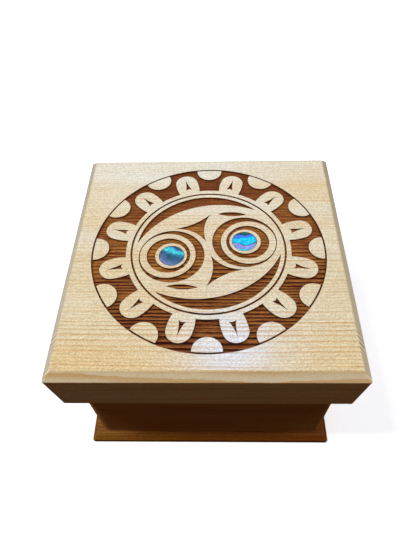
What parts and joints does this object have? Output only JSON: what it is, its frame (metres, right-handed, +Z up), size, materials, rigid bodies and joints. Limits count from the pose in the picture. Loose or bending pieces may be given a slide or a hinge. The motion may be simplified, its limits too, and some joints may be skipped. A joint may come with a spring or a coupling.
{
  "type": "bentwood box with lid",
  "caption": "Small square bentwood cedar box on a wider pegged base, with a thick bevelled lift-off lid that has a round carving and inlaid shell discs.",
  "frame": {"origin": "middle of the base's underside", "axes": "+Z up out of the lid, -Y towards the front, where the joined corner is on the right (+X)"},
  "size_m": [0.1142, 0.1142, 0.0777],
  "materials": {
    "side_cedar": "oiled red cedar, satin",
    "base_cedar": "oiled cedar, satin",
    "lid_cedar": "oiled yellow cedar, satin, burnt in the carving's ground",
    "abalone": "polished abalone shell",
    "peg_wood": "bare hard wood, cut flush"
  },
  "bodies": {
    "box": {"side_board": "side_cedar", "base_board": "base_cedar", "corner_peg_1": "peg_wood", "corner_peg_2": "peg_wood", "corner_peg_3": "peg_wood", "base_peg_1": "peg_wood", "base_peg_2": "peg_wood", "base_peg_3": "peg_wood", "base_peg_4": "peg_wood", "base_peg_5": "peg_wood", "base_peg_6": "peg_wood", "base_peg_7": "peg_wood", "base_peg_8": "peg_wood"},
    "lid": {"lid_board": "lid_cedar", "shell_disc_left": "abalone", "shell_disc_right": "abalone"}
  },
  "joints": [
    {"name": "lid_lift", "type": "slide", "parent": "box", "child": "lid", "axis": [0, 0, 1], "range_m": [0, 0.06]}
  ]
}
